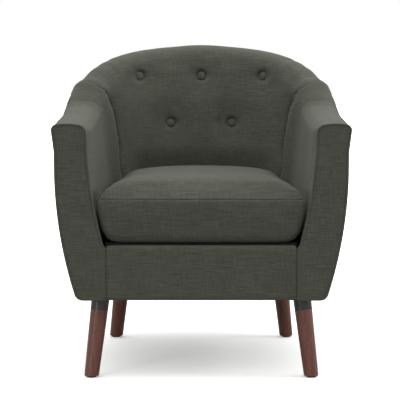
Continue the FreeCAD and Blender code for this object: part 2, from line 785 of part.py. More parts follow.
def make_front_border():
    """The padded strip across the front rail: it turns over the rail's top and under its bottom."""
    body = doc.addObject("PartDesign::Body", "front_border")
    body.Label = "front_border"
    front = "-Sizes.facing_thickness"
    back = "(Sizes.border_thickness - Sizes.facing_thickness)"
    over = "(Sizes.border_thickness - Sizes.facing_thickness + Sizes.front_rail_depth)"
    under = "(Sizes.border_thickness - Sizes.facing_thickness + Sizes.front_rail_depth / 2)"
    lip = "(Sizes.body_bottom + Sizes.frame_floor_gap - Sizes.layer_gap)"
    lid = "(Sizes.deck_height - Sizes.border_lid_thickness)"
    profile = bound_profile(body, "YZ_Plane", "front_border_side", [
        (front, "Sizes.body_bottom"), (under, "Sizes.body_bottom"), (under, lip), (back, lip),
        (back, lid), (over, lid), (over, "Sizes.deck_height"), (front, "Sizes.deck_height"),
    ])
    pad = body.newObject("PartDesign::Pad", "front_border_strip")
    pad.Profile = profile
    pad.SideType = "Symmetric"
    pad.setExpression("Length", "2 * Sizes.border_half_width")
    doc.recompute()
    top, low = size("deck_height"), size("body_bottom")
    names = [
        f"Edge{index + 1}" for index, edge in enumerate(pad.Shape.Edges)
        if edge.BoundBox.XLength > size("border_half_width")
        and edge.BoundBox.YMax < 0
        and min(abs(edge.BoundBox.ZMin - top), abs(edge.BoundBox.ZMin - low)) < size("layer_gap")
    ]
    rounded = body.newObject("PartDesign::Fillet", "front_border_edges")
    rounded.Base = (pad, names)
    rounded.setExpression("Radius", "Sizes.border_round")
    body.Tip = rounded
    body.Placement = FreeCAD.Placement(to_middle(), FreeCAD.Rotation())
    SUB_PARTS.append("front_border")


# The seat: rails, corner blocks, springs and deck


def base_room():
    """The curved base rails with a little room inside them, to trim what fits between them."""
    side = loft_wall(ARM_PLANES, lambda plane: base_outline(plane, size("layer_gap")))
    back = loft_wall(BACK_PLANES, lambda plane: base_outline(plane, size("layer_gap")))
    return side, mirrored(side), back


def trimmed(block, walls, inside):
    """A block cut off where it runs into the curved base rails: the piece round a point is kept."""
    for wall in walls:
        block = block.cut(wall)
    return min(block.Solids, key=lambda solid: solid.distToShape(Part.Vertex(inside))[0])


def rail_back_of_border():
    """Where the front rail starts, behind the border's padding."""
    return size("border_thickness") - size("facing_thickness") + size("layer_gap")


def make_seat_rails():
    """The rails across the front and behind the springs, and the blocks that the legs bolt to."""
    half = size("arm_front_half_width")
    front, deep = rail_back_of_border(), size("front_rail_depth")
    walls = base_room()
    tall = size("base_rail_height")
    corner = Vector(-half, front, frame_floor())
    front_rail = Part.makeBox(2 * half, deep, tall, corner)
    add_shape("front_rail", trimmed(front_rail, walls, corner + Vector(half, 0, 0)))
    tall = size("seat_back_rail_height")
    corner = Vector(-half, size("seat_back_rail_place"), base_rail_top() - tall)
    back_rail = Part.makeBox(2 * half, size("seat_back_rail_depth"), tall, corner)
    add_shape("seat_back_rail", trimmed(back_rail, walls, corner + Vector(half, 0, 0)))
    blocks = []
    for name in LEG_NAMES:
        foot, lean = leg_line(name)
        top, axis = foot + lean, Vector(lean).normalize()
        length = size("corner_block_length")
        near = front + deep if "front" in name else size("seat_back_rail_place") - length
        inner = abs(top.x) - size("corner_block_width") / 2
        left = inner if top.x > 0 else -half
        block = Part.makeBox(half - inner, length, size("corner_block_height"), Vector(left, near, frame_floor()))
        block = trimmed(block, walls, Vector(inner if top.x > 0 else -inner, top.y, frame_floor()))
        seat = top + axis * (size("bolt_reach") - 2 * size("nut_thickness"))
        reach = 2 * size("bolt_reach")
        spare = size("layer_gap")
        hole = Part.makeCylinder(size("bolt_radius") + spare, reach, top - axis * size("bolt_reach"), axis)
        pocket = Part.makeCylinder(size("nut_radius") + spare, reach, seat, axis)
        blocks.append(block.cut(hole).cut(pocket))
    add_shape("corner_blocks", Part.makeCompound(blocks))


def spring_path(across, start, end, height):
    """Centre line of a sinuous spring: straight ends, and crosswise runs joined by half turns."""
    radius, half = size("spring_loop_radius"), size("spring_loop_length") / 2
    count = int((end - start - 2 * size("clip_width") - 2 * radius) / (2 * radius)) + 1
    lead = (end - start - 2 * radius * count) / 2

    def point(x, y):
        return Vector(across + x, y, height)

    def arc(x, y, first, last):
        turns = [math.radians(angle) for angle in (first, (first + last) / 2, last)]
        return Part.Arc(*[point(x + radius * math.cos(t), y + radius * math.sin(t)) for t in turns]).toShape()

    y = start + lead + radius
    edges = [Part.makeLine(point(0, start), point(0, y - radius)), arc(radius, y - radius, 180, 90)]
    x, side = radius, 1
    for index in range(count):
        last = index == count - 1
        stop = -side * radius if last else side * half
        quarter = 0 if side > 0 else -180
        edges.append(Part.makeLine(point(x, y), point(stop, y)))
        edges.append(arc(stop, y + radius, -90, quarter))
        if last:
            break
        edges.append(arc(stop, y + radius, quarter, 90 if side > 0 else -3 * 90))
        x, y, side = stop, y + 2 * radius, -side
    edges.append(Part.makeLine(point(0, y + radius), point(0, end)))
    return Part.Wire(edges)


def spring_height():
    """Height of the springs' centre lines, on the clips of the rails."""
    return base_rail_top() + size("clip_thickness") + size("spring_wire") / 2


def make_springs():
    """Five sinuous springs from the front rail to the seat's back rail, each end in a clip."""
    front = rail_back_of_border()
    back = size("seat_back_rail_place") + size("seat_back_rail_depth")
    wire = size("spring_wire") / 2
    springs, clips = [], []
    for index in (-2, -1, 0, 1, 2):
        across = index * size("spring_spacing")
        height = spring_height()
        start, end = front + wire, back - wire
        path = spring_path(across, start, end, height)
        profile = Part.Wire([Part.makeCircle(wire, Vector(across, start, height), Vector(0, 1, 0))])
        spring = path.makePipeShell([profile], True, False)
        springs.append(spring)
        wide = size("clip_width")
        tall = size("clip_thickness") + size("spring_wire") / 2
        for place in (start + wire, end - wire - wide + size("clip_inset")):
            corner = Vector(across - wide / 2, place, base_rail_top())
            clip = Part.makeBox(wide, wide - size("clip_inset"), tall, corner)
            groove = Vector(across, place - wide, height)
            clips.append(clip.cut(Part.makeCylinder(wire, 3 * wide, groove, Vector(0, 1, 0))))
    add_shape("seat_springs", Part.makeCompound(springs))
    add_shape("spring_clips", Part.makeCompound(clips))


def plan_face(depth_at, front):
    """A flat shape inside the wall: it follows a depth round the planes and is closed across the front."""
    arm = ARM_PLANE_SHARES[:-1]
    planes = planes_at(arm + BACK_PLANE_SHARES + tuple(-share for share in reversed(arm)))
    points = [plane.at(depth_at(plane), 0) for plane in planes]
    points[0].y = front
    points[-1].y = front
    curve = Part.BSplineCurve()
    curve.interpolate(points)
    return Part.Face(Part.Wire([curve.toShape(), Part.makeLine(points[-1], points[0])]))


def make_deck():
    """The padded deck over the springs and the cloth on it."""
    front = rail_back_of_border() + size("front_rail_depth") + size("layer_gap")
    face = plan_face(lambda plane: plane.low_thickness + size("deck_edge_gap"), front)
    cloth, near = size("deck_cloth_thickness"), size("layer_gap")
    bottom = spring_height() + size("spring_wire") / 2 + near
    top = size("deck_height") - cloth
    face.translate(Vector(0, 0, bottom))
    add_shape("deck_pad", face.extrude(Vector(0, 0, top - near - bottom)))
    face.translate(Vector(0, 0, top - bottom))
    add_shape("deck_cloth", face.extrude(Vector(0, 0, cloth)))


def make_dust_cover():
    """The thin cloth under the frame, with holes for the legs."""
    thick, near = size("dust_cover_thickness"), size("layer_gap")
    inner_hem = draw_in(size("body_bottom")) + size("hem_round") + size("deck_edge_gap")
    front = rail_back_of_border() + size("front_rail_depth") / 2 + near
    face = plan_face(lambda plane: inner_hem, front)
    face.translate(Vector(0, 0, frame_floor() - near - thick))
    cover = face.extrude(Vector(0, 0, thick))
    for name in LEG_NAMES:
        foot, lean = leg_line(name)
        radius = size("leg_top_radius") + size("deck_edge_gap") / 2
        cover = cover.cut(Part.makeCylinder(radius, 2 * lean.Length, foot, lean))
    add_shape("dust_cover", cover)


# The loose seat cushion


def cushion_wire(share, height):
    """The cushion's plan at a height: straight front and sides, and a rear that follows the inside back."""
    middle = (size("cushion_front_place") + size("cushion_rear_place")) / 2
    half, bend = size("cushion_half_width"), size("cushion_front_round")
    front = size("cushion_front_place")
    turn = bend - bend * math.cos(math.radians(45))

    def at(x, y):
        return Vector(x * share, middle + (y - middle) * share, height)

    right = {
        "front": (half - bend, front),
        "front_bend": (half - turn, front + turn),
        "side": (half, front + bend),
        "side_end": (size("cushion_side_half_width"), size("cushion_side_end")),
        "shoulder": (size("cushion_shoulder_half_width"), size("cushion_shoulder_place")),
        "corner": (size("cushion_corner_half_width"), size("cushion_corner_place")),
    }
    left = {name: at(-x, y) for name, (x, y) in right.items()}
    right = {name: at(x, y) for name, (x, y) in right.items()}
    return Part.Wire([
        Part.makeLine(left["front"], right["front"]),
        Part.Arc(right["front"], right["front_bend"], right["side"]).toShape(),
        Part.makeLine(right["side"], right["side_end"]),
        Part.Arc(right["side_end"], right["shoulder"], right["corner"]).toShape(),
        Part.Arc(right["corner"], at(0, size("cushion_rear_place")), left["corner"]).toShape(),
        Part.Arc(left["corner"], left["shoulder"], left["side_end"]).toShape(),
        Part.makeLine(left["side_end"], left["side"]),
        Part.Arc(left["side"], left["front_bend"], left["front"]).toShape(),
    ])


def cushion_solid(inset):
    """The boxed cushion at an inset: drawn-in boxing from the bottom to the seam, and a crown on it."""
    narrow = 1 - inset / size("cushion_half_width")
    bottom = size("deck_height") + size("cushion_rest_gap") + inset
    seam, top = size("cushion_seam_height"), size("cushion_top_height") - inset
    sides = [
        cushion_wire(narrow * share, between(bottom, seam, rise)) for share, rise in CUSHION_SIDE_SHARES
    ]
    crown = [
        cushion_wire(narrow * share, between(seam, top, rise)) for share, rise in CUSHION_CROWN_SHARES
    ]
    return Part.makeLoft(sides, True, False).fuse(Part.makeLoft(crown, True, False))


def make_cushion():
    """The cushion's cover, its foam core, and the zip across the back of its boxing."""
    thick, near = size("cushion_cover_thickness"), size("layer_gap")
    add_shape("seat_cushion_cover", cushion_solid(0).cut(cushion_solid(thick)))
    add_shape("seat_cushion_core", cushion_solid(thick + near))
    rear, half = size("cushion_rear_place"), size("cushion_corner_half_width")
    fall = rear - size("cushion_corner_place")
    full_radius = (half**2 + fall**2) / (2 * fall)
    middle = (size("deck_height") + size("cushion_seam_height")) / 2
    tape_top = middle + size("zip_height") / 2
    line = Part.makeLine(Vector(0, rear - full_radius, tape_top), Vector(0, size("wall_depth"), tape_top))
    plan_middle = (size("cushion_front_place") + rear) / 2
    share = (cushion_solid(0).common(line).BoundBox.YMax - plan_middle) / (rear - plan_middle)
    radius = share * full_radius
    centre = Vector(0, between(plan_middle, rear - full_radius, share), 0)

    def band(inner, thickness, height, sweep, turned):
        """An upright strip on the cushion's rear, turned about the centre of its curve."""
        ring = Part.makeCylinder(inner + thickness, height, Vector(0, 0, middle - height / 2), Vector(0, 0, 1), sweep)
        ring = ring.cut(Part.makeCylinder(inner, height, Vector(0, 0, middle - height / 2)))
        ring.rotate(Vector(0, 0, 0), Vector(0, 0, 1), 90 - sweep / 2 + turned)
        ring.translate(centre)
        return ring

    tape = radius + near
    sweep = size("zip_sweep_angle")
    add_shape("cushion_zip", band(tape, size("zip_thickness"), size("zip_height"), sweep, 0))
    slider_sweep = math.degrees(size("slider_length") / radius)
    slider = band(tape + size("zip_thickness") + near, size("slider_thickness"), size("slider_height"),
                  slider_sweep, (slider_sweep - sweep) / 2)
    add_shape("zip_slider", slider)
    print(f"The slider turns about X 0, Y {centre.y + to_middle().y:.2f} by {sweep - slider_sweep:.2f} degrees")


make_outside_covers()
make_arm_padding()
make_back_padding()
make_back_straps()
make_rails_and_ribs()
make_facings()
make_front_border()
make_seat_rails()
make_springs()
make_deck()
make_dust_cover()
make_legs()
make_cushion()
doc.recompute()


def check_and_export():
    """Stop at a broken piece, then write each one to its own file."""
    for item in doc.Objects:
        if "Invalid" in item.State or "Error" in item.State:
            raise RuntimeError(f"{item.Label} did not build: {item.State}")
    pieces = [doc.getObjectsByLabel(label)[0] for label in SUB_PARTS]
    for piece in pieces:
        if piece.Shape.isNull() or not piece.Shape.isValid():
            raise RuntimeError(f"{piece.Label} has no valid shape")
    for piece in pieces:
        piece.Shape.exportStep(f"parts/{piece.Label}.step")
        print(f"{piece.Label}: {len(piece.Shape.Solids)} solids, {piece.Shape.Volume / 1000:.1f} cm3")


check_and_export()
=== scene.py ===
"""Looks of the barrel accent chair: woven upholstery over padding, stained legs with metal ferrules."""
import bmesh
import bpy
import math
import numpy as np
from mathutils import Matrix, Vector
from mathutils.bvhtree import BVHTree


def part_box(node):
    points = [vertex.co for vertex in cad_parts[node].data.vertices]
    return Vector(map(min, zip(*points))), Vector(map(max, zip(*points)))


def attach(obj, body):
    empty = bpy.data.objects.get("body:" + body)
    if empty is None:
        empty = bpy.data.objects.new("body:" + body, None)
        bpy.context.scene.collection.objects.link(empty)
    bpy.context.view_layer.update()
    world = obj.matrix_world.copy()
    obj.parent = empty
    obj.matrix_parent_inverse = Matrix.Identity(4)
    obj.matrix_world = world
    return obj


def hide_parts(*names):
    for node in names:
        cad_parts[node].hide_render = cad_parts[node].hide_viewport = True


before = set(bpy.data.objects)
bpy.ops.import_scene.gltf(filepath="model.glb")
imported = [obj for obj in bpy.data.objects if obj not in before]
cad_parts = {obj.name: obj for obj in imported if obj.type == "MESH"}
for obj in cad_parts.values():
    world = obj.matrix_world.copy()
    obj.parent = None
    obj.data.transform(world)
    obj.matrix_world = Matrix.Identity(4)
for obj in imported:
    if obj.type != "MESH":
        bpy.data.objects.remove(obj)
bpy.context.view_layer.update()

# Plan of the wall, in metres: straight arms, then half an ellipse round the back
WALL_FRONT = -0.341
BEND_START = 0.059
ARM_LENGTH = 0.4
HALF_WIDTH = 0.342
BEND_DEPTH = 0.291
BODY_BOTTOM = 0.188
HEM_RADIUS = 0.012
HEM_TOP = BODY_BOTTOM + HEM_RADIUS
# Below its widest height the outside draws in along an arc
WIDEST_HEIGHT = 0.5
DRAW_RADIUS = 1.0
# Depths from the wall's outside: the crest of the roll, and where the roll meets the inner face
CREST_DEPTH = 0.036
ROLL_DEPTH = 0.085
# Threads are counted along the inner face, which is shorter than the wall's middle line
INNER_RUN = 0.85
# Where the seam between arm and back lies round the wall, and how far its two covers are brought together
SEAM_SHARE = 0.75
SEAM_CLOSING = 0.0035
# How far a sewn cover stands out from its solid
FILL_OUT = 0.0008
PUFF_FRAMES = 20
DECK_HEIGHT = 0.321
CUSHION_SEAM_HEIGHT = 0.425
CUSHION_LOW_SEAM_HEIGHT = 0.334
WEAVE_MAP = "weave"
THREAD_PITCH = 0.0021

CHAIR, SEAT, SLIDER = "chair", "seat_cushion", "slider"


# Materials

class Finish:
    """A material under construction: its nodes, and short ways of adding them."""

    def __init__(self, name):
        self.material = bpy.data.materials.new(name)
        self.material.use_nodes = True
        self.tree = self.material.node_tree
        self.shader = self.tree.nodes["Principled BSDF"]

    def add(self, kind, settings=None, **sockets):
        node = self.tree.nodes.new(kind)
        for key, value in (settings or {}).items():
            setattr(node, key, value)
        for key, value in sockets.items():
            self.feed(node, key.replace("_", " "), value)
        return node

    def feed(self, node, socket, value):
        target = node.inputs[int(socket)] if socket.isdigit() else node.inputs[socket]
        if isinstance(value, bpy.types.NodeSocket):
            self.tree.links.new(value, target)
        else:
            target.default_value = value

    def grain(self, source, stretch, detail=3.0, roughness=0.55):
        """Noise whose grain is stretched by a scale along each axis."""
        placed = self.add("ShaderNodeMapping", Vector=source, Scale=stretch)
        noise = self.add("ShaderNodeTexNoise", Vector=placed.outputs[0], Scale=1.0, Detail=detail, Roughness=roughness)
        return noise.outputs["Fac"]

    def sum(self, start, *terms):
        """A number plus each term's distance from its middle, times its weight."""
        total = start
        for value, weight in terms:
            scaled = self.add("ShaderNodeMath", {"operation": "MULTIPLY_ADD"})
            self.feed(scaled, "0", value)
            self.feed(scaled, "1", weight)
            self.feed(scaled, "2", -weight / 2)
            joined = self.add("ShaderNodeMath", {"operation": "ADD"})
            self.feed(joined, "0", scaled.outputs[0])
            self.feed(joined, "1", total)
            total = joined.outputs[0]
        return total

    def ramp(self, value, *stops):
        node = self.add("ShaderNodeValToRGB", Fac=value)
        elements = node.color_ramp.elements
        for element, (place, colour) in zip(elements, (stops[0], stops[-1])):
            element.position, element.color = place, (*colour, 1)
        for place, colour in stops[1:-1]:
            elements.new(place).color = (*colour, 1)
        return node.outputs[0]

    def relief(self, height, distance, strength=1.0):
        bump = self.add("ShaderNodeBump", Height=height, Distance=distance, Strength=strength)
        self.feed(self.shader, "Normal", bump.outputs[0])

    def surface(self, **sockets):
        for key, value in sockets.items():
            self.feed(self.shader, key.replace("_", " "), value)
        return self.material


def woven_cloth(name):
    """Linen-look plain weave: slubs along both thread directions over a fine basket of threads."""
    finish = Finish(name)
    threads = finish.add("ShaderNodeUVMap", {"uv_map": WEAVE_MAP}).outputs[0]
    weft = finish.grain(threads, (26, 640, 1), 4.0, 0.6)
    warp = finish.grain(threads, (640, 34, 1), 4.0, 0.6)
    coarse_weft = finish.grain(threads, (13, 260, 1), 2.0)
    coarse_warp = finish.grain(threads, (260, 15, 1), 2.0)
    cloud = finish.grain(threads, (14, 14, 1), 3.0)
    split = finish.add("ShaderNodeSeparateXYZ", Vector=threads)
    waves = []
    for axis in ("X", "Y"):
        turned = finish.add("ShaderNodeMath", {"operation": "MULTIPLY"})
        finish.feed(turned, "0", split.outputs[axis])
        finish.feed(turned, "1", 2 * math.pi / THREAD_PITCH)
        wave = finish.add("ShaderNodeMath", {"operation": "SINE"})
        finish.feed(wave, "0", turned.outputs[0])
        waves.append(wave.outputs[0])
    basket = finish.add("ShaderNodeMath", {"operation": "MULTIPLY"})
    finish.feed(basket, "0", waves[0])
    finish.feed(basket, "1", waves[1])
    shade = finish.sum(0.5, (weft, 1.0), (warp, 0.7), (coarse_weft, 0.34), (coarse_warp, 0.2), (cloud, 0.12))
    low, middle, high = (0.026, 0.0265, 0.0205), (0.049, 0.05, 0.039), (0.084, 0.085, 0.068)
    colour = finish.ramp(shade, (0.1, low), (0.5, middle), (0.9, high))
    height = finish.sum(0.5, (weft, 0.8), (warp, 0.8), (basket.outputs[0], 0.35))
    finish.relief(height, 0.0009, 0.55)
    return finish.surface(Base_Color=colour, Roughness=0.88, Sheen_Weight=0.17, Sheen_Roughness=0.45,
                          Sheen_Tint=(0.62, 0.64, 0.55, 1), Specular_IOR_Level=0.2)


def stained_wood(name):
    """Reddish brown stained leg: fine grain along the leg under a satin lacquer."""
    finish = Finish(name)
    place = finish.add("ShaderNodeTexCoord").outputs["Object"]
    streaks = finish.grain(place, (150, 150, 5), 4.0, 0.6)
    pores = finish.grain(place, (700, 700, 22), 2.0, 0.5)
    cloud = finish.grain(place, (14, 14, 9), 2.0)
    shade = finish.sum(0.5, (streaks, 0.9), (pores, 0.45), (cloud, 0.4))
    colour = finish.ramp(shade, (0.15, (0.05, 0.0138, 0.0076)), (0.5, (0.096, 0.0283, 0.016)),
                         (0.85, (0.152, 0.05, 0.029)))
    finish.relief(finish.sum(0.5, (pores, 0.8), (streaks, 0.3)), 0.0004, 0.35)
    return finish.surface(Base_Color=colour, Roughness=0.5, Specular_IOR_Level=0.25, Coat_Weight=0.45,
                          Coat_Roughness=0.18)


def dark_metal(name):
    finish = Finish(name)
    place = finish.add("ShaderNodeTexCoord").outputs["Object"]
    brushed = finish.grain(place, (60, 60, 900), 2.0)
    cloud = finish.grain(place, (40, 40, 40), 3.0)
    colour = finish.ramp(finish.sum(0.5, (brushed, 0.6), (cloud, 0.5)), (0.2, (0.025, 0.024, 0.023)),
                         (0.8, (0.062, 0.059, 0.056)))
    finish.relief(brushed, 0.0002, 0.2)
    return finish.surface(Base_Color=colour, Roughness=0.25, Metallic=0.75)


def plain(name, low, high, scale, roughness, relief=0.0002, **more):
    """A finish with fine mottling between two colours."""
    finish = Finish(name)
    place = finish.add("ShaderNodeTexCoord").outputs["Object"]
    mottle = finish.grain(place, scale, 4.0, 0.6)
    finish.relief(mottle, relief, 0.5)
    return finish.surface(Base_Color=finish.ramp(mottle, (0.3, low), (0.7, high)), Roughness=roughness, **more)


cloth = woven_cloth("woven_cloth")
leg_finish = stained_wood("stained_wood")
ferrule_finish = dark_metal("dark_metal")
frame_timber = plain("frame_timber", (0.42, 0.28, 0.15), (0.62, 0.45, 0.27), (60, 60, 9), 0.75)
fibreboard = plain("fibreboard", (0.3, 0.21, 0.12), (0.42, 0.31, 0.2), (300, 300, 300), 0.85)
webbing_finish = plain("webbing", (0.25, 0.2, 0.13), (0.4, 0.34, 0.25), (900, 60, 900), 0.9, 0.0005)
lining = plain("lining", (0.012, 0.012, 0.012), (0.028, 0.028, 0.028), (420, 420, 420), 0.95, 0.0004)
spring_finish = plain("spring_steel", (0.2, 0.19, 0.18), (0.38, 0.37, 0.35), (200, 200, 200), 0.35, Metallic=0.9)
zinc = plain("zinc", (0.45, 0.45, 0.44), (0.6, 0.6, 0.58), (120, 120, 120), 0.3, Metallic=0.95)
black_plastic = plain("black_plastic", (0.012, 0.012, 0.013), (0.022, 0.022, 0.024), (300, 300, 300), 0.55)
twine_finish = plain("twine", (0.4, 0.36, 0.28), (0.6, 0.56, 0.46), (900, 900, 300), 0.8)

node_finishes = {
    "arm_board": fibreboard, "back_straps": webbing_finish, "button_twines": twine_finish,
    "button_toggles": black_plastic, "seat_springs": spring_finish, "spring_clips": black_plastic,
    "leg_bolts": zinc, "leg_nuts": zinc, "leg_glides": black_plastic,
}


def give(piece, material):
    piece.data.materials.clear()
    piece.data.materials.append(material)


for node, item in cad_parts.items():
    finish = frame_timber
    if node.endswith("_ferrule"):
        finish = ferrule_finish
    elif "_leg_" in node:
        finish = leg_finish
    for start, other in node_finishes.items():
        if node.startswith(start):
            finish = other
    give(item, finish)


# Making soft pieces from the space that their solids hold

def made(name, shape, body, material):
    """A finished bmesh as a piece that rides on a body."""
    mesh = bpy.data.meshes.new(name)
    for face in shape.faces:
        face.smooth = True
    shape.to_mesh(mesh)
    shape.free()
    piece = bpy.data.objects.new(name, mesh)
    bpy.context.scene.collection.objects.link(piece)
    give(piece, material)
    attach(piece, body)
    return piece


def merged_copy(nodes):
    """The meshes of some nodes in one bmesh, with their doubles merged."""
    shape = bmesh.new()
    for node in nodes:
        shape.from_mesh(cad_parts[node].data)
    bmesh.ops.remove_doubles(shape, verts=shape.verts, dist=0.00004)
    return shape


def applied(piece):
    """Bake a piece's modifiers into its mesh."""
    bpy.context.view_layer.update()
    solved = piece.evaluated_get(bpy.context.evaluated_depsgraph_get())
    mesh = bpy.data.meshes.new_from_object(solved)
    old = piece.data
    piece.modifiers.clear()
    piece.data = mesh
    mesh.name = piece.name
    bpy.data.meshes.remove(old)


def joined_groups(shape):
    """The vertices of each separate part of a bmesh."""
    seen, groups = set(), []
    for first in shape.verts:
        if first in seen:
            continue
        seen.add(first)
        stack, group = [first], []
        while stack:
            vert = stack.pop()
            group.append(vert)
            for edge in vert.link_edges:
                other = edge.other_vert(vert)
                if other not in seen:
                    seen.add(other)
                    stack.append(other)
        groups.append(group)
    return groups


def keep_largest(shape):
    """Drop the bits of a remeshed piece that are shut inside it."""
    for group in sorted(joined_groups(shape), key=len)[:-1]:
        bmesh.ops.delete(shape, geom=group, context="VERTS")


def relax(shape, times):
    """Smooth a bmesh a little, some times over."""
    for _ in range(times):
        bmesh.ops.smooth_vert(shape, verts=shape.verts, factor=0.5, use_axis_x=True, use_axis_y=True, use_axis_z=True)


def stuffed(name, nodes, body, voxel, smoothing=3, material=cloth, fill_out=0.0):
    """One closed soft mass in the space of some nodes, with even faces, filled out by a distance."""
    piece = made(name, merged_copy(nodes), body, material)
    remesh = piece.modifiers.new("Even faces", "REMESH")
    remesh.mode, remesh.voxel_size = "VOXEL", voxel
    applied(piece)
    shape = bmesh.new()
    shape.from_mesh(piece.data)
    keep_largest(shape)
    relax(shape, smoothing)
    for face in shape.faces:
        face.smooth = True
    shape.normal_update()
    for vert in shape.verts:
        vert.co += vert.normal * fill_out
    shape.to_mesh(piece.data)
    shape.free()
    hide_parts(*nodes)
    return piece


def places(piece):
    data = np.empty(len(piece.data.vertices) * 3, np.float32)
    piece.data.vertices.foreach_get("co", data)
    return data.reshape(-1, 3).astype(float)


def facings(piece):
    """Each vertex's outward direction."""
    data = np.empty(len(piece.data.vertices) * 3, np.float32)
    piece.data.vertices.foreach_get("normal", data)
    return data.reshape(-1, 3).astype(float)


def put(piece, points):
    piece.data.vertices.foreach_set("co", points.astype(np.float32).ravel())
    piece.data.update()


def ease(value, low, high):
    """0 below low, 1 above high, and a smooth step between."""
    share = np.clip((value - low) / (high - low), 0, 1)
    return share * share * (3 - 2 * share)


def puff(piece, share_at, cap, pressure=4.0):
    """Swell a piece by air pressure, with its movement capped and scaled by a share at each vertex."""
    scene = bpy.context.scene
    rest = places(piece)
    cloth_modifier = piece.modifiers.new("Padding", "CLOTH")
    settings = cloth_modifier.settings
    settings.use_pressure = True
    settings.uniform_pressure_force = pressure
    settings.effector_weights.gravity = 0
    settings.quality = 4
    cloth_modifier.collision_settings.use_collision = False
    cloth_modifier.point_cache.frame_start, cloth_modifier.point_cache.frame_end = 1, PUFF_FRAMES
    for number in range(1, PUFF_FRAMES + 1):
        scene.frame_set(number)
    solved = piece.evaluated_get(bpy.context.evaluated_depsgraph_get())
    swollen = np.array([v.co for v in solved.data.vertices], float)
    piece.modifiers.remove(cloth_modifier)
    scene.frame_set(1)
    moved = swollen - rest
    length = np.linalg.norm(moved, axis=1)
    moved *= (np.minimum(length, cap) / np.maximum(length, 1e-9))[:, None]
    put(piece, rest + moved * share_at(rest, facings(piece))[:, None])


def even_out(piece, times):
    """Take small dents out of a piece."""
    shape = bmesh.new()
    shape.from_mesh(piece.data)
    relax(shape, times)
    shape.to_mesh(piece.data)
    shape.free()


def refined(piece):
    """One level of subdivision, applied."""
    divide = piece.modifiers.new("Finer", "SUBSURF")
    divide.levels = divide.render_levels = 1
    applied(piece)


def wall_place(points):
    """How far round the wall each point is from the middle of the back, and how deep in the wall."""
    x, y = points[:, 0], points[:, 1] - BEND_START
    behind = y > 0
    angle = np.arctan2(np.abs(x) / HALF_WIDTH, np.maximum(y, 0) / BEND_DEPTH)
    mean = (HALF_WIDTH + BEND_DEPTH) / 2
    round_wall = np.where(behind, angle * mean * INNER_RUN, math.pi / 2 * mean * INNER_RUN - y)
    depth = np.where(behind, (1 - np.hypot(x / HALF_WIDTH, y / BEND_DEPTH)) * mean, HALF_WIDTH - np.abs(x))
    return np.sign(x) * round_wall, depth


def wall_share(points):
    """How far round from the middle of the back, 1 where the arms start, and how deep in the wall."""
    x, y = np.abs(points[:, 0]), points[:, 1] - BEND_START
    turn = np.arctan2(np.maximum(y, 0) * HALF_WIDTH, x * BEND_DEPTH)
    # The ellipse's nearest spot to each point, found in a few steps
    for _ in range(6):
        out = np.stack([np.cos(turn) / HALF_WIDTH, np.sin(turn) / BEND_DEPTH], 1)
        out /= np.linalg.norm(out, axis=1)[:, None]
        depth = ((HALF_WIDTH * np.cos(turn) - x) * out[:, 0] + (BEND_DEPTH * np.sin(turn) - y) * out[:, 1])
        turn = np.arctan2((y + out[:, 1] * depth) / BEND_DEPTH, (x + out[:, 0] * depth) / HALF_WIDTH)
    bend = y > 0
    share = np.where(bend, 1 - turn / (math.pi / 2), 1 - y / ARM_LENGTH)
    return share, np.where(bend, depth, HALF_WIDTH - x)


def wall_point(share, depth):
    """Where a share round the wall and a depth lie, for the right-hand side."""
    turn = np.clip(1 - share, 0, 1) * math.pi / 2
    out = np.stack([np.cos(turn) / HALF_WIDTH, np.sin(turn) / BEND_DEPTH], 1)
    out /= np.linalg.norm(out, axis=1)[:, None]
    ahead = np.maximum(share - 1, 0) * ARM_LENGTH
    return (HALF_WIDTH * np.cos(turn) - out[:, 0] * depth,
            BEND_START + BEND_DEPTH * np.sin(turn) - out[:, 1] * depth - ahead)


def slide(points, before, after):
    """Move points as the wall moves from one (share, depth) to another."""
    before, after = wall_point(*before), wall_point(*after)
    points[:, 0] += np.sign(points[:, 0]) * (after[0] - before[0])
    points[:, 1] += after[1] - before[1]


covers = [places(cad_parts[node]) for node in
          ("inside_back_cover", "inside_arm_cover_left", "inside_arm_cover_right")]
covers = np.concatenate(covers)
cover_share, _ = wall_share(covers)
CREST_PLACES = np.linspace(0, 2, 61)
CREST_HEIGHTS = np.array([covers[np.abs(cover_share - place) < 0.025, 2].max(initial=0) for place in CREST_PLACES])
CREST_PLACES, CREST_HEIGHTS = CREST_PLACES[CREST_HEIGHTS > 0], CREST_HEIGHTS[CREST_HEIGHTS > 0]


def set_weave(piece, across, along):
    """Store the cloth's thread coordinates, in metres, as a UV map."""
    layer = piece.data.uv_layers.new(name=WEAVE_MAP)
    corners = np.empty(len(piece.data.loops), np.int32)
    piece.data.loops.foreach_get("vertex_index", corners)
    values = np.stack([across[corners], along[corners]], 1).astype(np.float32)
    layer.data.foreach_set("uv", values.ravel())


def weave_round_wall(piece, over_top=True):
    """Threads run level round the wall, and up the face and over the roll."""
    points = places(piece)
    across, _ = wall_place(points)
    share, depth = wall_share(points)
    height = -points[:, 2]
    if over_top:
        top = np.interp(share, CREST_PLACES, CREST_HEIGHTS)
        height = np.where(depth < CREST_DEPTH, -height - 2 * top, height) + np.minimum(depth - ROLL_DEPTH, 0)
    set_weave(piece, across, height)


def weave_flat(piece, across_axis=0, along_axis=2):
    points = places(piece)
    set_weave(piece, points[:, across_axis], points[:, along_axis])


def weave_boxed(piece):
    """Level threads on upright faces, and threads along X and Y on the rest."""
    mesh = piece.data
    layer = mesh.uv_layers.new(name=WEAVE_MAP)
    points = places(piece)
    for face in mesh.polygons:
        normal = face.normal
        flat = abs(normal.z) > 0.62
        side = abs(normal.x) > abs(normal.y)
        for corner in face.loop_indices:
            x, y, z = points[mesh.loops[corner].vertex_index]
            layer.data[corner].uv = (x, y) if flat else ((y, z) if side else (x, z))


# The padded inside of the back and arms

BUTTON_RADIUS = 0.0112
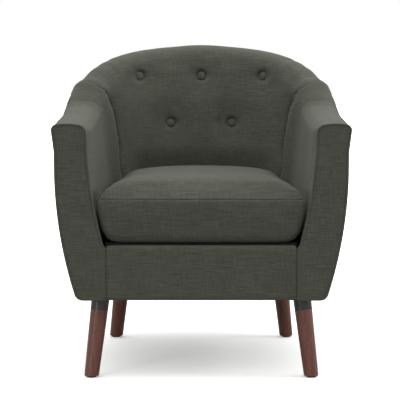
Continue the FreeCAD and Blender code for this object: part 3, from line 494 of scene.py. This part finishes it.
# Height of a button's dome and of its back, against the radius
DOME_SHARE = 0.42
DOME_BACK_SHARE = 0.3
BUTTONS = [(-0.159, 0.692), (0.0, 0.692), (0.159, 0.692), (-0.079, 0.569), (0.079, 0.569)]


def towards_sitter(points, normals):
    """1 on faces that look at the sitter or up, and 0 on those shut in against the frame."""
    inward = np.stack([-points[:, 0], -np.maximum(points[:, 1] - BEND_START, 0), np.zeros(len(points))], 1)
    inward /= np.maximum(np.linalg.norm(inward, axis=1), 1e-9)[:, None]
    facing = (inward * normals).sum(1)
    return np.maximum(ease(facing, 0.0, 0.4), ease(normals[:, 2], 0.3, 0.7))


def back_share(points, normals):
    """The back swells most away from its buttons and its edges, and hardly in the roll above them."""
    share = towards_sitter(points, normals)
    for x, z in BUTTONS:
        share *= 0.1 + 0.9 * ease(np.hypot(points[:, 0] - x, points[:, 2] - z), 0.02, 0.075)
    across, _ = wall_place(points)
    edge = across.max() - np.abs(across)
    share *= 1 - 0.85 * ease(points[:, 2], 0.695, 0.73)
    return share * ease(edge, 0.0, 0.06) * ease(points[:, 2], DECK_HEIGHT, DECK_HEIGHT + 0.05)


def arm_share(points, normals):
    """An arm swells most away from its two ends and from the deck."""
    across, _ = wall_place(points)
    edge = np.minimum(np.abs(across) - np.abs(across).min(), points[:, 1] - WALL_FRONT)
    low = ease(points[:, 2], DECK_HEIGHT + 0.05, DECK_HEIGHT + 0.2)
    return towards_sitter(points, normals) * ease(edge, 0.0, 0.05) * low


# The seam between arm and back, against a straight one: below the crest inside, and above the hem outside
SEAM_DROPS = (0, 0.012, 0.035, 0.075, 0.11, 0.15, 0.195, 0.24, 0.3, 0.37)
SEAM_SHIFTS = (0.08, 0.1, 0.072, 0.0, -0.03, -0.04, -0.034, 0.012, 0.012, 0.0)
SEAM_REACH = 0.3


def lay_seam(piece, closing):
    """Lead the seam between arm and back along its curve, by sliding the padding round the wall.

    Closing moves the piece's own end a little towards its neighbour, so that the two covers meet.
    """
    points = places(piece)
    share, depth = wall_share(points)
    crest = np.interp(share, CREST_PLACES, CREST_HEIGHTS)
    drop = crest - points[:, 2]
    outside = 1 - ease(depth, 0.012, 0.06)
    inner_shift = np.interp(drop, SEAM_DROPS, SEAM_SHIFTS)
    outer_shift = np.interp(drop, (0, 0.03, 0.085), (0.078, 0.045, 0.0))
    shift = inner_shift + (outer_shift - inner_shift) * outside
    shift *= 1 - ease(np.abs(share - SEAM_SHARE), 0.0, SEAM_REACH)
    shift += closing * (1 - ease(np.abs(share - SEAM_SHARE), 0.01, 0.07))
    rise = np.interp(share + shift, CREST_PLACES, CREST_HEIGHTS) - crest
    inner_follow = np.clip(1 - drop / np.maximum(crest - DECK_HEIGHT, 0.05), 0, 1)
    follow = inner_follow + (1 - inner_follow) * outside
    slide(points, (share, depth), (share + shift, depth))
    points[:, 2] += rise * follow
    put(piece, points)


def crease(piece, ends, depth, width):
    """Shallow folds of the cover between pairs of buttons, seen from the front."""
    points, normals = places(piece), facings(piece)
    front = ease(-normals[:, 1], 0.3, 0.7)
    flat = points[:, [0, 2]]
    for first, last, share in ends:
        first, last = np.array(first), np.array(last)
        run = last - first
        along = np.clip(((flat - first) @ run) / (run @ run), 0, 1)
        away = np.linalg.norm(flat - first - along[:, None] * run, axis=1)
        sink = depth * share * np.exp(-((away / width) ** 2)) * (1 - 0.55 * np.sin(math.pi * along))
        points -= normals * (sink * front)[:, None]
    put(piece, points)


def soften_tufts(piece, lift):
    """Fill the hollows round the buttons a little, so that the cover dips close to each button only."""
    points, normals = places(piece), facings(piece)
    front = ease(-normals[:, 1], 0.3, 0.7)
    for x, z in BUTTONS:
        away = np.hypot(points[:, 0] - x, points[:, 2] - z)
        share = ease(away, 0.009, 0.016) * (1 - ease(away, 0.016, 0.036))
        points -= np.array([0, 1, 0]) * (lift * share * front)[:, None]
    put(piece, points)


def spread_front(piece, amount):
    """Ease the inner face outwards beside the front of the cushion, behind the edge of the facing."""
    points, normals = places(piece), facings(piece)
    inner = ease(-normals[:, 0] * np.sign(points[:, 0]), 0.2, 0.6)
    low = 1 - ease(points[:, 2], 0.405, 0.45)
    ahead = 1 - ease(points[:, 1], -0.3, -0.2)
    points[:, 0] += np.sign(points[:, 0]) * amount * inner * low * ahead
    put(piece, points)


def gather(piece):
    """Small gathers of the arm's cover where it is pulled to the front facing."""
    points, normals = places(piece), facings(piece)
    near = 1 - ease(points[:, 1] - WALL_FRONT, 0.004, 0.034)
    top = ease(normals[:, 2], 0.5, 0.9)
    ripple = np.sin(points[:, 0] * 640) + 0.6 * np.sin(points[:, 0] * 1010 + 1.3)
    points += normals * (0.00042 * ripple * near * top)[:, None]
    put(piece, points)


def tuck_under(piece, depth, low, high):
    """Draw the foot of the back's face in behind the seat cushion, as its pulled cover does."""
    points = places(piece)
    share, inside = wall_share(points)
    sink = depth * (1 - ease(points[:, 2], low, high)) * ease(inside, 0.04, 0.08) * (1 - ease(share, 0.5, 0.72))
    slide(points, (share, inside), (share, inside - sink))
    put(piece, points)


def lower_top_edge(piece, amount, low, high):
    """Lower a piece's top edge, by less and less down to where it stays."""
    points = places(piece)
    points[:, 2] -= amount * ease(points[:, 2], low, high)
    put(piece, points)


back = stuffed("inside_back", ["inside_back_cover", "back_foam"], CHAIR, voxel=0.006, fill_out=FILL_OUT)
puff(back, back_share, cap=0.006)
refined(back)
tuck_under(back, depth=0.016, low=CUSHION_SEAM_HEIGHT, high=0.51)
soften_tufts(back, lift=0.003)
left, middle, right, low_left, low_right = BUTTONS
crease(back, [(left, middle, 1.0), (middle, right, 1.0), (low_left, low_right, 0.9), (left, low_left, 0.5),
              (middle, low_left, 0.45), (middle, low_right, 0.45), (right, low_right, 0.5)],
       depth=0.0012, width=0.011)
lay_seam(back, closing=SEAM_CLOSING)
weave_round_wall(back)

arms = []
for side in ("left", "right"):
    nodes = [f"inside_arm_cover_{side}", f"arm_foam_{side}"]
    arm = stuffed(f"inside_arm_{side}", nodes, CHAIR, voxel=0.0055, fill_out=FILL_OUT)
    puff(arm, arm_share, cap=0.005)
    refined(arm)
    lay_seam(arm, closing=-SEAM_CLOSING)
    spread_front(arm, amount=0.0075)
    gather(arm)
    arms.append(arm)
    weave_round_wall(arm)

    facing = stuffed(f"front_facing_{side}", [f"arm_facing_{side}"], CHAIR, voxel=0.0026, smoothing=2,
                     fill_out=FILL_OUT)
    weave_flat(facing)

    welt = stuffed(f"front_welt_{side}", [f"facing_welt_{side}"], CHAIR, voxel=0.0014, smoothing=4,
                   fill_out=FILL_OUT)
    weave_flat(welt)

border = stuffed("front_band", ["front_border"], CHAIR, voxel=0.0035)
lower_top_edge(border, amount=0.0055, low=0.25, high=0.315)
weave_flat(border)


# The outside panels, stretched over the frame

def wall_spot(share):
    """Foot of the wall's outside, and the way in, at a share of a quarter turn from the back's middle."""
    side = 1 if share >= 0 else -1
    along = 2 - abs(share)
    if along <= 1:
        return Vector((side * HALF_WIDTH, WALL_FRONT + ARM_LENGTH * along, 0)), Vector((-side, 0, 0))
    turn = math.radians(90 * (along - 1))
    spot = Vector((side * HALF_WIDTH * math.cos(turn), BEND_START + BEND_DEPTH * math.sin(turn), 0))
    way = Vector((-side * math.cos(turn) / HALF_WIDTH, -math.sin(turn) / BEND_DEPTH, 0))
    return spot, way.normalized()


# How far a panel runs on under the roll above it, and how far in it lies there
PANEL_TUCK = 0.01
PANEL_SINK = 0.0028
PANEL_THICKNESS = 0.003
# The share of a panel's length that goes round under the hem
HEM_SHARE = 0.06
# How far outside a surface the search for it starts
PROBE = 0.05


def drawn_in(height):
    """How far in the outside lies at a height."""
    drop = max(WIDEST_HEIGHT - height, 0)
    return DRAW_RADIUS - math.sqrt(DRAW_RADIUS**2 - drop**2)


def stretched_panel(name, node, first, last, columns, rows):
    """A panel of cloth laid on the outer face of a node, from under the hem up to the seam."""
    copy = merged_copy([node])
    solid = BVHTree.FromBMesh(copy)
    copy.free()
    shape = bmesh.new()
    bmesh.ops.create_grid(shape, x_segments=columns, y_segments=rows, size=1)
    order = np.lexsort(np.array([(vert.co.x, vert.co.y) for vert in shape.verts]).T)
    for vert in shape.verts:
        share = first + (last - first) * (vert.co.x + 1) / 2
        up = (vert.co.y + 1) / 2
        spot, way = wall_spot(share)
        if up < HEM_SHARE:
            turn = math.radians(90) * (1 - up / HEM_SHARE)
            centre = spot + way * (drawn_in(HEM_TOP) + HEM_RADIUS) + Vector((0, 0, HEM_TOP))
            out = -way * math.cos(turn) - Vector((0, 0, 1)) * math.sin(turn)
            hit = solid.ray_cast(centre + out * PROBE, -out)[0]
        else:
            rise = (up - HEM_SHARE) / (1 - HEM_SHARE)
            probe = spot - way * PROBE
            top = solid.ray_cast(spot + way * 0.0015 + Vector((0, 0, 1)), Vector((0, 0, -1)))[0]
            seam = (top.z if top else 0.53) - 0.0005
            height = HEM_TOP + (seam + PANEL_TUCK - HEM_TOP) * rise
            hit = solid.ray_cast(probe + Vector((0, 0, min(height, seam))), way)[0]
            if hit and height > seam:
                sink = PANEL_SINK * min((height - seam) / PANEL_THICKNESS, 1)
                hit = hit + way * sink + Vector((0, 0, height - seam))
        if hit is None:
            hit = spot + Vector((0, 0, HEM_TOP))
        vert.co = hit
    net = np.array([vert.co for vert in shape.verts])[order].reshape(-1, columns + 1, 3)
    width = np.linalg.norm(np.diff(net, axis=1), axis=2).sum(1).max()
    length = np.linalg.norm(np.diff(net, axis=0), axis=2).sum(0).max()
    area = sum(face.calc_area() for face in shape.faces)
    piece = made(name, shape, CHAIR, cloth)
    wall = piece.modifiers.new("Thickness", "SOLIDIFY")
    wall.thickness, wall.offset = PANEL_THICKNESS, -1
    applied(piece)
    weave_round_wall(piece, over_top=False)
    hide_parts(node)


stretched_panel("outside_back", "outside_back_cover", 0.7499, -0.7499, 120, 60)
stretched_panel("outside_arm_right", "outside_arm_cover_right", 1.9999, 0.7501, 72, 60)
stretched_panel("outside_arm_left", "outside_arm_cover_left", -0.7501, -1.9999, 72, 60)


# The seat cushion

def cushion_share(points, normals):
    """The cushion swells on top and a little in front, and less at its seam."""
    top = ease(normals[:, 2], 0.2, 0.7)
    front = ease(-normals[:, 1], 0.5, 0.9) * ease(points[:, 2], DECK_HEIGHT + 0.01, DECK_HEIGHT + 0.05) * 0.5
    seam = ease(np.abs(points[:, 2] - CUSHION_SEAM_HEIGHT), 0.0, 0.02)
    return np.maximum(top, front) * (0.3 + 0.7 * seam)


def groove(piece, height, depth, width=0.003):
    """A sewn seam round a piece at a height: a fine crease between two extra cuts."""
    shape = bmesh.new()
    shape.from_mesh(piece.data)
    for level, sink in ((height - width, 0), (height + width, 0), (height, depth)):
        cut = bmesh.ops.bisect_plane(shape, geom=[*shape.verts, *shape.edges, *shape.faces], dist=0.0002,
                                     plane_co=(0, 0, level), plane_no=(0, 0, 1))
        if sink:
            shape.normal_update()
            for item in cut["geom_cut"]:
                if isinstance(item, bmesh.types.BMVert):
                    flat = Vector((item.normal.x, item.normal.y, 0)).normalized()
                    item.co -= flat * sink
    shape.to_mesh(piece.data)
    shape.free()


BROW_RISE = 0.0055
SIDE_DROP = 0.006


def fill_room(piece, neighbours, most, clear):
    """Let the upper part of the cushion swell towards the walls round it, up to a clearance.

    At the rear it swells above the zip only. The top then falls away at the sides and stands up over the front.
    """
    def tree(item):
        shape = bmesh.new()
        shape.from_mesh(item.data)
        found = BVHTree.FromBMesh(shape)
        shape.free()
        return found

    own, walls = tree(piece), [tree(item) for item in neighbours]
    centre = Vector((0, -0.08, 0))
    turns = np.linspace(0, 2 * math.pi, 97)[:-1]
    levels = (0.385, 0.4, 0.415, 0.43, 0.44)
    room = np.zeros(len(turns))
    radius = np.ones(len(turns))
    for number, turn in enumerate(turns):
        way = Vector((math.cos(turn), math.sin(turn), 0))
        spare = []
        for level in levels:
            start = Vector((centre.x, centre.y, level))
            edge = own.ray_cast(start, way)[3]
            wall = [hit[3] for hit in (item.ray_cast(start, way) for item in walls) if hit[3] is not None]
            if edge and wall:
                behind_front = ease(centre.y + way.y * edge, -0.32, -0.2)
                spare.append((min(wall) - edge - clear) * behind_front)
                radius[number] = max(radius[number] if radius[number] < 1 else 0, edge)
        room[number] = min(max(min(spare), 0), most) if spare else 0
    room = sum(np.roll(room, step) * weight for step, weight in ((-2, 0.1), (-1, 0.2), (0, 0.4), (1, 0.2), (2, 0.1)))
    points = places(piece)
    flat = points[:, :2] - np.array([centre.x, centre.y])
    turn = np.mod(np.arctan2(flat[:, 1], flat[:, 0]), 2 * math.pi)
    shift = np.interp(turn, turns, room, period=2 * math.pi)
    reach = np.interp(turn, turns, radius, period=2 * math.pi)
    out = np.linalg.norm(flat, axis=1)
    rear = ease(points[:, 1], 0.02, 0.1)
    rise = np.clip((points[:, 2] - 0.35 - 0.033 * rear) / (0.05 - 0.015 * rear), 0, 1)
    shift *= np.clip(out / reach, 0, 1) ** 2 * rise**2 * (3 - 2 * rise)
    points[:, :2] += flat / np.maximum(out, 1e-6)[:, None] * shift[:, None]
    side = ease(out / reach, 0.72, 1.0) * ease(np.abs(points[:, 0]), 0.08, 0.17) * ease(points[:, 1], -0.33, -0.2)
    brow = ease(points[:, 1], -0.356, -0.32) * (1 - ease(points[:, 1], -0.32, -0.19))
    above = ease(points[:, 2], CUSHION_SEAM_HEIGHT + 0.001, CUSHION_SEAM_HEIGHT + 0.014)
    points[:, 2] += (BROW_RISE * brow - SIDE_DROP * side) * above
    put(piece, points)


def square_front_corners(piece, radius):
    """Make the cushion's front corners fuller in plan: a quarter circle becomes a squarer curve."""
    points = places(piece)
    x, y, z = np.abs(points[:, 0]), points[:, 1], points[:, 2]
    levels = np.arange(z.min(), z.max(), 0.006)
    rows = [(np.abs(z - level) < 0.005) & (y < -0.2) for level in levels]
    side = np.interp(z, levels, [x[row].max() if row.any() else 0 for row in rows])
    front = np.interp(z, levels, [y[row].min() if row.any() else 0 for row in rows])
    across, ahead = np.maximum(x - side + radius, 0), np.maximum(front + radius - y, 0)
    away = np.maximum(np.hypot(across, ahead), 1e-9)
    grow = np.maximum((across / away) ** 4 + (ahead / away) ** 4, 0.1) ** -0.25 - 1
    grow = np.where((across > 0) & (ahead > 0), grow, 0)
    points[:, 0] += np.sign(points[:, 0]) * across * grow
    points[:, 1] -= ahead * grow
    put(piece, points)


def round_low_corners(piece):
    """Lift the cushion's low front corners, as a stuffed box has them."""
    points = places(piece)
    beyond = np.maximum(np.abs(points[:, 0]) - 0.18, 0) / 0.06
    low = 1 - ease(points[:, 2], 0.325, 0.4)
    front = 1 - ease(points[:, 1], -0.3, -0.22)
    points[:, 2] += 0.012 * np.minimum(beyond, 1.1) ** 2 * low * front
    put(piece, points)


seat = stuffed("seat_cushion_pad", ["seat_cushion_cover", "seat_cushion_core"], SEAT, voxel=0.006)
puff(seat, cushion_share, cap=0.01)
even_out(seat, times=4)
fill_room(seat, [back, *arms], most=0.026, clear=0.004)
square_front_corners(seat, radius=0.04)
refined(seat)
groove(seat, CUSHION_SEAM_HEIGHT, depth=0.0019)
groove(seat, CUSHION_LOW_SEAM_HEIGHT, depth=0.0012)
round_low_corners(seat)
weave_boxed(seat)

deck = stuffed("deck_lining", ["deck_cloth", "deck_pad"], CHAIR, voxel=0.0045, smoothing=2, material=lining)


# Covered buttons

def islands(node):
    """The points of each separate solid of a node."""
    shape = merged_copy([node])
    found = [[list(vert.co) for vert in group] for group in joined_groups(shape)]
    shape.free()
    return found


button_shape = bmesh.new()
for group in islands("back_buttons"):
    cloud = np.array(group)
    middle = cloud.mean(0)
    _, _, axes = np.linalg.svd(cloud - middle)
    way = Vector(axes[2])
    if way.y > 0:
        way = -way
    middle = (cloud.max(0) + cloud.min(0)) / 2
    dome = bmesh.ops.create_uvsphere(button_shape, u_segments=36, v_segments=20, radius=BUTTON_RADIUS)["verts"]
    turn = way.to_track_quat("Z", "Y").to_matrix()
    for vert in dome:
        flat = vert.co.copy()
        flat.z *= DOME_SHARE if flat.z > 0 else DOME_BACK_SHARE
        vert.co = turn @ flat + Vector(middle)
buttons = made("covered_buttons", button_shape, CHAIR, cloth)
weave_flat(buttons)
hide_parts("back_buttons")


# Dust cover, zip and slider

CUT_SPACING = 0.022
CUTS_EACH_SIDE = 14
dust = merged_copy(["dust_cover"])
for axis in (0, 1):
    normal = [0, 0, 0]
    normal[axis] = 1
    for step in range(-CUTS_EACH_SIDE, CUTS_EACH_SIDE + 1):
        spot = [0, 0, 0]
        spot[axis] = step * CUT_SPACING
        bmesh.ops.bisect_plane(dust, geom=[*dust.verts, *dust.edges, *dust.faces], dist=0.00005,
                               plane_co=spot, plane_no=normal)
# The cloth is drawn up a little in the middle, with a faint ripple
for vert in dust.verts:
    across, along = min(abs(vert.co.x) / 0.27, 1), min(abs(vert.co.y) / 0.3, 1)
    sag = math.cos(across * math.pi / 2) * math.cos(along * math.pi / 2)
    vert.co.z += 0.002 * sag + 0.0006 * math.sin(vert.co.x * 70) * math.sin(vert.co.y * 55) * sag
dust_area = sum(face.calc_area() for face in dust.faces) / 2
underside = made("underside_cloth", dust, CHAIR, lining)
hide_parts("dust_cover")

zip_low, zip_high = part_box("cushion_zip")
ZIP_CURVE_CENTRE_Y = -0.08544
TEETH_EACH_SIDE = 36
TOOTH_TURN = math.radians(0.58)
TOOTH_SIZE = (0.0013, 0.0012, 0.0042)
TOOTH_STAGGER = 0.0009
ZIP_CENTRE = Vector((0, ZIP_CURVE_CENTRE_Y, (zip_low.z + zip_high.z) / 2))
ZIP_RADIUS = zip_high.y - ZIP_CENTRE.y
tape = made("zip_tape", merged_copy(["cushion_zip"]), SEAT, lining)
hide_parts("cushion_zip")
teeth = bmesh.new()
for step in range(-TEETH_EACH_SIDE, TEETH_EACH_SIDE + 1):
    turn = math.pi / 2 + step * TOOTH_TURN
    tooth = bmesh.ops.create_cube(teeth, size=1)["verts"]
    stagger = TOOTH_STAGGER if step % 2 else -TOOTH_STAGGER
    bmesh.ops.scale(teeth, verts=tooth, vec=TOOTH_SIZE)
    bmesh.ops.translate(teeth, verts=tooth, vec=(0, ZIP_RADIUS + 0.0001, stagger))
    rotation = Vector((0, 1, 0)).rotation_difference(Vector((math.cos(turn), math.sin(turn), 0))).to_matrix()
    bmesh.ops.rotate(teeth, verts=tooth, cent=(0, 0, 0), matrix=rotation)
    bmesh.ops.translate(teeth, verts=tooth, vec=ZIP_CENTRE)
made("zip_teeth", teeth, SEAT, zinc)

slider_low, slider_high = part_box("zip_slider")
slider_middle = (slider_low + slider_high) / 2
out = Vector((slider_middle.x, slider_middle.y - ZIP_CENTRE.y, 0)).normalized()
pull = bmesh.new()
body = bmesh.ops.create_cube(pull, size=1)["verts"]
bmesh.ops.scale(pull, verts=body, vec=(0.009, 0.0022, 0.0085))
tab = bmesh.ops.create_cube(pull, size=1)["verts"]
bmesh.ops.scale(pull, verts=tab, vec=(0.012, 0.0009, 0.0045))
bmesh.ops.translate(pull, verts=tab, vec=(0.0015, 0.0016, 0))
bmesh.ops.bevel(pull, geom=list(pull.edges), offset=0.0004, segments=2, affect="EDGES", profile=0.5, material=-1)
rotation = Vector((0, 1, 0)).rotation_difference(out).to_matrix()
for vert in pull.verts:
    vert.co = rotation @ vert.co + slider_middle
zip_pull = made("zip_pull", pull, SLIDER, zinc)
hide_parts("zip_slider")


# Floor, lights and camera

floor_shape = bmesh.new()
bmesh.ops.create_grid(floor_shape, x_segments=1, y_segments=1, size=14)
floor_mesh = bpy.data.meshes.new("floor")
floor_shape.to_mesh(floor_mesh)
floor_shape.free()
floor = bpy.data.objects.new("floor", floor_mesh)
bpy.context.scene.collection.objects.link(floor)
# To the camera the floor is pale and glows, and the glow grows with distance from the chair. This is painted light: it
# lightens the chair's shadow on the floor and whitens the far floor. To other rays the floor is a darker grey.
pale = Finish("pale_floor_painted_glow")
seen = pale.add("ShaderNodeLightPath").outputs["Is Camera Ray"]
shade = pale.add("ShaderNodeMix", {"data_type": "RGBA"})
pale.feed(shade, "0", seen)
shade.inputs[6].default_value = (0.42, 0.42, 0.41, 1)
shade.inputs[7].default_value = (0.9, 0.9, 0.885, 1)
reach = pale.add("ShaderNodeVectorMath", {"operation": "LENGTH"})
pale.feed(reach, "0", pale.add("ShaderNodeTexCoord").outputs["Object"])
lift = pale.add("ShaderNodeMapRange", {"interpolation_type": "SMOOTHSTEP"})
pale.feed(lift, "Value", reach.outputs["Value"])
for key, value in (("From Min", 0.6), ("From Max", 1.8), ("To Min", 0.205), ("To Max", 1.0)):
    lift.inputs[key].default_value = value
glow = pale.add("ShaderNodeMath", {"operation": "MULTIPLY"})
pale.feed(glow, "0", lift.outputs[0])
pale.feed(glow, "1", seen)
give(floor, pale.surface(Base_Color=shade.outputs[2], Roughness=0.95, Specular_IOR_Level=0.0,
                         Emission_Color=(1, 1, 0.985, 1), Emission_Strength=glow.outputs[0]))


def area_light(name, place, target, width, height, power):
    lamp = bpy.data.lights.new(name, "AREA")
    lamp.shape, lamp.size, lamp.size_y = "RECTANGLE", width, height
    lamp.energy = power
    item = bpy.data.objects.new(name, lamp)
    item.location = place
    item.rotation_euler = (Vector(target) - Vector(place)).to_track_quat("-Z", "Y").to_euler()
    bpy.context.scene.collection.objects.link(item)


area_light("overhead", (-0.15, -0.35, 2.6), (0, 0, 0.3), width=2.0, height=1.8, power=20)
area_light("side_window", (2.6, -0.1, 1.5), (-0.2, 0.15, 0.55), width=1.2, height=1.2, power=30)
area_light("front_strip", (-2.3, -3.0, 1.3), (0, 0, 0.4), width=0.4, height=1.9, power=15)
world = bpy.data.worlds.new("studio")
world.use_nodes = True
sky = world.node_tree
tent = sky.nodes["Background"]
way = sky.nodes.new("ShaderNodeSeparateXYZ")
sky.links.new(sky.nodes.new("ShaderNodeTexCoord").outputs["Generated"], way.inputs[0])
height_light = sky.nodes.new("ShaderNodeMapRange")
for key, value in (("From Min", 0.0), ("From Max", 1.0), ("To Min", 0.78), ("To Max", 1.75)):
    height_light.inputs[key].default_value = value
sky.links.new(way.outputs["Z"], height_light.inputs["Value"])
seen_white = sky.nodes.new("ShaderNodeMath")
seen_white.operation = "MAXIMUM"
sky.links.new(height_light.outputs[0], seen_white.inputs[0])
sky.links.new(sky.nodes.new("ShaderNodeLightPath").outputs["Is Camera Ray"], seen_white.inputs[1])
sky.links.new(seen_white.outputs[0], tent.inputs["Strength"])
tent.inputs["Color"].default_value = (1, 1, 1, 1)
bpy.context.scene.world = world

# The focal length that fits the photograph, in its pixels, and the picture's width in them
FOCAL_PIXELS = 1720
PICTURE_PIXELS = 400
CAMERA_TILT = 6.2
camera_data = bpy.data.cameras.new("camera")
camera_data.sensor_width = 36
camera_data.lens = camera_data.sensor_width * FOCAL_PIXELS / PICTURE_PIXELS
camera = bpy.data.objects.new("camera", camera_data)
camera.location = (-0.0033, -4.311, 0.855)
camera.rotation_euler = (math.radians(90 - CAMERA_TILT), 0, 0)
bpy.context.scene.collection.objects.link(camera)
bpy.context.scene.camera = camera
bpy.context.scene.view_settings.view_transform = "Standard"
